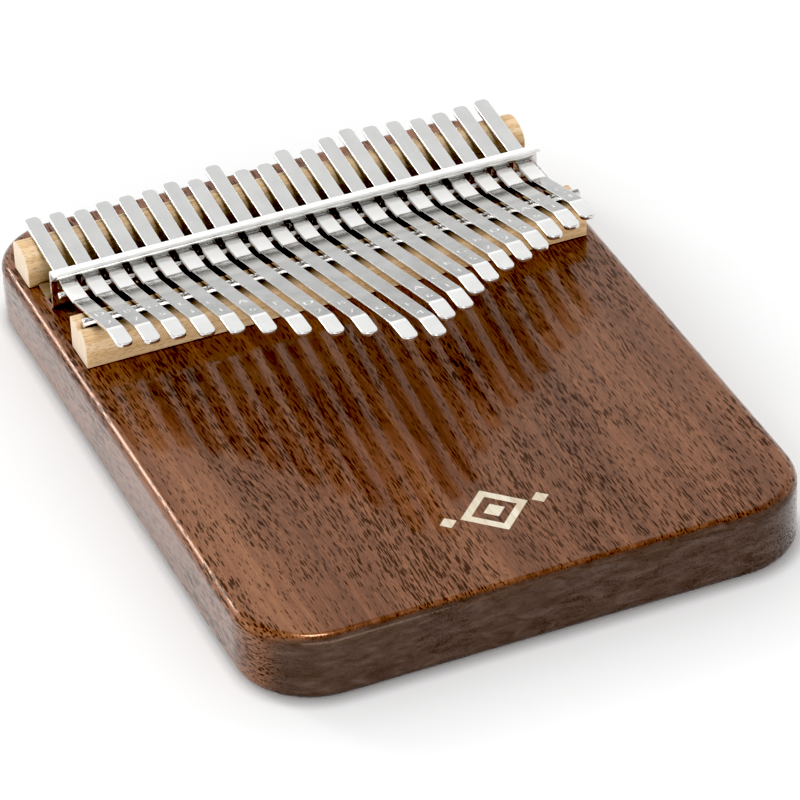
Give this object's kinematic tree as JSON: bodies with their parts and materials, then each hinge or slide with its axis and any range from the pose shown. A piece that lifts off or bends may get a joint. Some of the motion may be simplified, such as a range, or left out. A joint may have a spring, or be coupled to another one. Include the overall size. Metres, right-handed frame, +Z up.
{
  "type": "solid-board kalimba",
  "caption": "Plucked thumb piano: a thick rounded walnut board with a slotted steel bracket holding a row of bent spring-steel tines over two wooden bridges.",
  "frame": {"origin": "centre of the board's footprint, on the surface it lies on", "axes": "+X along the row of tines, left to right for the player; +Y away from the player, towards the tails of the tines; +Z up out of the playing face"},
  "size_m": [0.157, 0.215, 0.0528],
  "materials": {
    "walnut": "open-pored black walnut under gloss lacquer",
    "maple": "pale maple veneer inlay under gloss lacquer",
    "bridge_wood": "pale straight-grained hardwood, sanded and unfinished",
    "nickel": "bright nickel plate",
    "tine_steel": "polished nickel-plated spring steel with stamped note marks",
    "screw_steel": "zinc-plated steel"
  },
  "bodies": {
    "sound_board": {"board": "walnut", "inlay_diamond_ring": "maple", "inlay_diamond_centre": "maple", "inlay_diamond_left": "maple", "inlay_diamond_right": "maple", "front_bridge_block": "bridge_wood", "back_bridge_block": "bridge_wood", "front_bridge_rod": "nickel", "pressure_rod": "nickel", "tine_rest_rod": "nickel", "z_bracket": "nickel", "bracket_screw_1": "screw_steel", "bracket_screw_2": "screw_steel", "bracket_screw_3": "screw_steel", "bracket_screw_4": "screw_steel", "bracket_screw_5": "screw_steel"},
    "tine_01_body": {"tine_01": "tine_steel"},
    "tine_02_body": {"tine_02": "tine_steel"},
    "tine_03_body": {"tine_03": "tine_steel"},
    "tine_04_body": {"tine_04": "tine_steel"},
    "tine_05_body": {"tine_05": "tine_steel"},
    "tine_06_body": {"tine_06": "tine_steel"},
    "tine_07_body": {"tine_07": "tine_steel"},
    "tine_08_body": {"tine_08": "tine_steel"},
    "tine_09_body": {"tine_09": "tine_steel"},
    "tine_10_body": {"tine_10": "tine_steel"},
    "tine_11_body": {"tine_11": "tine_steel"},
    "tine_12_body": {"tine_12": "tine_steel"},
    "tine_13_body": {"tine_13": "tine_steel"},
    "tine_14_body": {"tine_14": "tine_steel"},
    "tine_15_body": {"tine_15": "tine_steel"},
    "tine_16_body": {"tine_16": "tine_steel"},
    "tine_17_body": {"tine_17": "tine_steel"},
    "tine_18_body": {"tine_18": "tine_steel"},
    "tine_19_body": {"tine_19": "tine_steel"},
    "tine_20_body": {"tine_20": "tine_steel"},
    "tine_21_body": {"tine_21": "tine_steel"}
  },
  "joints": [
    {"name": "tine_01_flex", "type": "hinge", "parent": "sound_board", "child": "tine_01_body", "pos_m": [-0.0685, 0.0375, 0.032], "axis": [1, 0, 0], "range_deg": [-0.3, 1.1], "stiffness_Nm_per_rad": 16.2},
    {"name": "tine_02_flex", "type": "hinge", "parent": "sound_board", "child": "tine_02_body", "pos_m": [-0.06165, 0.0375, 0.032], "axis": [1, 0, 0], "range_deg": [-0.3, 1.1], "stiffness_Nm_per_rad": 14.4},
    {"name": "tine_03_flex", "type": "hinge", "parent": "sound_board", "child": "tine_03_body", "pos_m": [-0.0548, 0.0375, 0.032], "axis": [1, 0, 0], "range_deg": [-0.3, 1.1], "stiffness_Nm_per_rad": 13.7},
    {"name": "tine_04_flex", "type": "hinge", "parent": "sound_board", "child": "tine_04_body", "pos_m": [-0.04795, 0.0375, 0.032], "axis": [1, 0, 0], "range_deg": [-0.3, 1.1], "stiffness_Nm_per_rad": 12},
    {"name": "tine_05_flex", "type": "hinge", "parent": "sound_board", "child": "tine_05_body", "pos_m": [-0.0411, 0.0375, 0.032], "axis": [1, 0, 0], "range_deg": [-0.3, 1.1], "stiffness_Nm_per_rad": 10.6},
    {"name": "tine_06_flex", "type": "hinge", "parent": "sound_board", "child": "tine_06_body", "pos_m": [-0.03425, 0.0375, 0.032], "axis": [1, 0, 0], "range_deg": [-0.3, 1.1], "stiffness_Nm_per_rad": 9.1},
    {"name": "tine_07_flex", "type": "hinge", "parent": "sound_board", "child": "tine_07_body", "pos_m": [-0.0274, 0.0375, 0.032], "axis": [1, 0, 0], "range_deg": [-0.3, 1.1], "stiffness_Nm_per_rad": 7.7},
    {"name": "tine_08_flex", "type": "hinge", "parent": "sound_board", "child": "tine_08_body", "pos_m": [-0.02055, 0.0375, 0.032], "axis": [1, 0, 0], "range_deg": [-0.3, 1.1], "stiffness_Nm_per_rad": 6.9},
    {"name": "tine_09_flex", "type": "hinge", "parent": "sound_board", "child": "tine_09_body", "pos_m": [-0.0137, 0.0375, 0.032], "axis": [1, 0, 0], "range_deg": [-0.3, 1.1], "stiffness_Nm_per_rad": 6.2},
    {"name": "tine_10_flex", "type": "hinge", "parent": "sound_board", "child": "tine_10_body", "pos_m": [-0.00685, 0.0375, 0.032], "axis": [1, 0, 0], "range_deg": [-0.3, 1.1], "stiffness_Nm_per_rad": 5.3},
    {"name": "tine_11_flex", "type": "hinge", "parent": "sound_board", "child": "tine_11_body", "pos_m": [0, 0.0375, 0.032], "axis": [1, 0, 0], "range_deg": [-0.3, 1.1], "stiffness_Nm_per_rad": 5.1},
    {"name": "tine_12_flex", "type": "hinge", "parent": "sound_board", "child": "tine_12_body", "pos_m": [0.00685, 0.0375, 0.032], "axis": [1, 0, 0], "range_deg": [-0.3, 1.1], "stiffness_Nm_per_rad": 5.8},
    {"name": "tine_13_flex", "type": "hinge", "parent": "sound_board", "child": "tine_13_body", "pos_m": [0.0137, 0.0375, 0.032], "axis": [1, 0, 0], "range_deg": [-0.3, 1.1], "stiffness_Nm_per_rad": 6.2},
    {"name": "tine_14_flex", "type": "hinge", "parent": "sound_board", "child": "tine_14_body", "pos_m": [0.02055, 0.0375, 0.032], "axis": [1, 0, 0], "range_deg": [-0.3, 1.1], "stiffness_Nm_per_rad": 7.1},
    {"name": "tine_15_flex", "type": "hinge", "parent": "sound_board", "child": "tine_15_body", "pos_m": [0.0274, 0.0375, 0.032], "axis": [1, 0, 0], "range_deg": [-0.3, 1.1], "stiffness_Nm_per_rad": 8},
    {"name": "tine_16_flex", "type": "hinge", "parent": "sound_board", "child": "tine_16_body", "pos_m": [0.03425, 0.0375, 0.032], "axis": [1, 0, 0], "range_deg": [-0.3, 1.1], "stiffness_Nm_per_rad": 9},
    {"name": "tine_17_flex", "type": "hinge", "parent": "sound_board", "child": "tine_17_body", "pos_m": [0.0411, 0.0375, 0.032], "axis": [1, 0, 0], "range_deg": [-0.3, 1.1], "stiffness_Nm_per_rad": 9.8},
    {"name": "tine_18_flex", "type": "hinge", "parent": "sound_board", "child": "tine_18_body", "pos_m": [0.04795, 0.0375, 0.032], "axis": [1, 0, 0], "range_deg": [-0.3, 1.1], "stiffness_Nm_per_rad": 11},
    {"name": "tine_19_flex", "type": "hinge", "parent": "sound_board", "child": "tine_19_body", "pos_m": [0.0548, 0.0375, 0.032], "axis": [1, 0, 0], "range_deg": [-0.3, 1.1], "stiffness_Nm_per_rad": 13.2},
    {"name": "tine_20_flex", "type": "hinge", "parent": "sound_board", "child": "tine_20_body", "pos_m": [0.06165, 0.0375, 0.032], "axis": [1, 0, 0], "range_deg": [-0.3, 1.1], "stiffness_Nm_per_rad": 15.2},
    {"name": "tine_21_flex", "type": "hinge", "parent": "sound_board", "child": "tine_21_body", "pos_m": [0.0685, 0.0375, 0.032], "axis": [1, 0, 0], "range_deg": [-0.3, 1.1], "stiffness_Nm_per_rad": 18.4}
  ]
}
